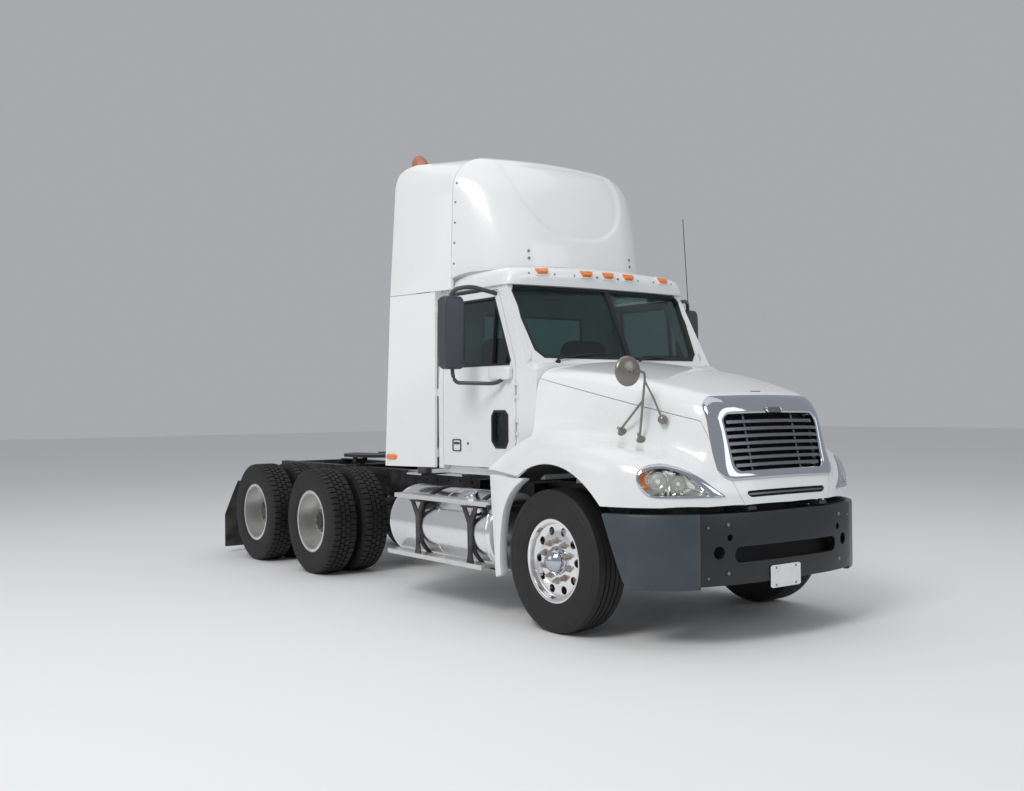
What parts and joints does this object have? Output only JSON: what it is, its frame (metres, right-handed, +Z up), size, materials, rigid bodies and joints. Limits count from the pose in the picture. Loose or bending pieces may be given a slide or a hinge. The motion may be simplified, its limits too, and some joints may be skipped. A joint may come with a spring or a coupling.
{
  "type": "semi truck tractor unit",
  "caption": "Conventional day-cab tractor unit with tall roof fairing, tilting hood, opening doors, steered front wheels and twin drive wheels under a fifth wheel.",
  "frame": {"origin": "middle of the bounding box at the ground under the tyres", "axes": "+X to the truck's left, +Y to its rear (it faces -Y), +Z up"},
  "size_m": [2.772, 7.1819, 3.8205],
  "materials": {
    "white_paint": "gloss",
    "frame_paint": "satin",
    "cast_parts": "matte",
    "polished_aluminium": "polished",
    "bumper_grey": "satin",
    "bumper_dark": "satin",
    "chrome": "polished",
    "lamp_lens": "polished",
    "amber_lens": "gloss",
    "clear_glass": "polished",
    "black_rubber": "matte",
    "tyre": "matte",
    "stack_steel": "satin",
    "mirror_plastic": "satin",
    "mirror_metal": "satin",
    "dash_plastic": "matte",
    "seat_cloth": "matte"
  },
  "bodies": {
    "chassis": {"frame_rails": "frame_paint", "crossmembers": "frame_paint", "front_axle": "cast_parts", "front_springs": "frame_paint", "drive_axles": "cast_parts", "rear_suspension": "frame_paint", "engine": "cast_parts", "fuel_tanks": "polished_aluminium", "tank_straps": "frame_paint", "tank_steps": "polished_aluminium", "bumper_center": "bumper_dark", "bumper_ends": "bumper_grey", "hood_hinge_arms": "frame_paint", "mud_flaps": "black_rubber", "deck_plate": "polished_aluminium", "exhaust_stack": "stack_steel", "fender_panels": "white_paint", "cab_floor": "white_paint", "cab_back": "white_paint", "cab_front": "white_paint", "cab_roof": "white_paint", "cab_glass": "clear_glass", "dashboard": "dash_plastic", "seats": "seat_cloth", "roof_fairing": "white_paint", "side_extenders": "white_paint", "marker_lamps": "amber_lens", "fifth_wheel_base": "frame_paint"},
    "hood": {"hood_top": "white_paint", "fender_right": "white_paint", "fender_left": "white_paint", "grille_surround": "chrome", "grille_bars": "bumper_dark", "headlamps": "lamp_lens", "headlamp_bezels": "chrome", "fender_mirror": "mirror_metal"},
    "right_door": {"door_right": "white_paint", "door_glass_right": "clear_glass", "mirror_right": "mirror_plastic"},
    "left_door": {"door_left": "white_paint", "door_glass_left": "clear_glass", "mirror_left": "mirror_plastic"},
    "coupling": {"fifth_wheel_plate": "frame_paint"},
    "left_knuckle": {"knuckle_left": "cast_parts"},
    "right_knuckle": {"knuckle_right": "cast_parts"},
    "steering_rod": {"tie_rod": "cast_parts"},
    "front_left_wheel": {"steer_tyre_left": "tyre", "steer_rim_left": "polished_aluminium"},
    "front_right_wheel": {"steer_tyre_right": "tyre", "steer_rim_right": "polished_aluminium"},
    "drive_wheels_1_left": {"drive_tyres_1_left": "tyre", "drive_rims_1_left": "polished_aluminium"},
    "drive_wheels_1_right": {"drive_tyres_1_right": "tyre", "drive_rims_1_right": "polished_aluminium"},
    "drive_wheels_2_left": {"drive_tyres_2_left": "tyre", "drive_rims_2_left": "polished_aluminium"},
    "drive_wheels_2_right": {"drive_tyres_2_right": "tyre", "drive_rims_2_right": "polished_aluminium"}
  },
  "joints": [
    {"name": "hood_tilt", "type": "hinge", "parent": "chassis", "child": "hood", "pos_m": [0, -3.562, 0.913], "axis": [1, 0, 0], "range_deg": [0, 65]},
    {"name": "right_door_swing", "type": "hinge", "parent": "chassis", "child": "right_door", "pos_m": [-1.016, -1.795, 1.45], "axis": [0, 0, 1], "range_deg": [0, 70]},
    {"name": "left_door_swing", "type": "hinge", "parent": "chassis", "child": "left_door", "pos_m": [1.016, -1.795, 1.45], "axis": [0, 0, -1], "range_deg": [0, 70]},
    {"name": "coupling_tilt", "type": "hinge", "parent": "chassis", "child": "coupling", "pos_m": [0, 1.878, 1.052], "axis": [1, 0, 0], "range_deg": [-9, 9]},
    {"name": "steer_left", "type": "hinge", "parent": "chassis", "child": "left_knuckle", "pos_m": [0.86, -2.412, 0.51], "axis": [0, 0, 1], "range_deg": [-38, 38]},
    {"name": "steer_right", "type": "hinge", "parent": "chassis", "child": "right_knuckle", "pos_m": [-0.86, -2.412, 0.51], "axis": [0, 0, 1], "range_deg": [-38, 38]},
    {"name": "tie_rod_pivot", "type": "hinge", "parent": "left_knuckle", "child": "steering_rod", "pos_m": [0.86, -2.192, 0.372], "axis": [0, 0, 1], "range_deg": [-38, 38]},
    {"name": "front_left_spin", "type": "hinge", "parent": "left_knuckle", "child": "front_left_wheel", "pos_m": [1.03, -2.412, 0.51], "axis": [1, 0, 0], "continuous": true},
    {"name": "front_right_spin", "type": "hinge", "parent": "right_knuckle", "child": "front_right_wheel", "pos_m": [-1.03, -2.412, 0.51], "axis": [1, 0, 0], "continuous": true},
    {"name": "drive_1_left_spin", "type": "hinge", "parent": "chassis", "child": "drive_wheels_1_left", "pos_m": [0.897, 1.321, 0.51], "axis": [1, 0, 0], "continuous": true},
    {"name": "drive_1_right_spin", "type": "hinge", "parent": "chassis", "child": "drive_wheels_1_right", "pos_m": [-0.897, 1.321, 0.51], "axis": [1, 0, 0], "continuous": true},
    {"name": "drive_2_left_spin", "type": "hinge", "parent": "chassis", "child": "drive_wheels_2_left", "pos_m": [0.897, 2.632, 0.51], "axis": [1, 0, 0], "continuous": true},
    {"name": "drive_2_right_spin", "type": "hinge", "parent": "chassis", "child": "drive_wheels_2_right", "pos_m": [-0.897, 2.632, 0.51], "axis": [1, 0, 0], "continuous": true}
  ],
  "couplings": [
    {"joint": "steer_right", "follows": "steer_left", "ratio": 1},
    {"joint": "tie_rod_pivot", "follows": "steer_left", "ratio": -1}
  ]
}
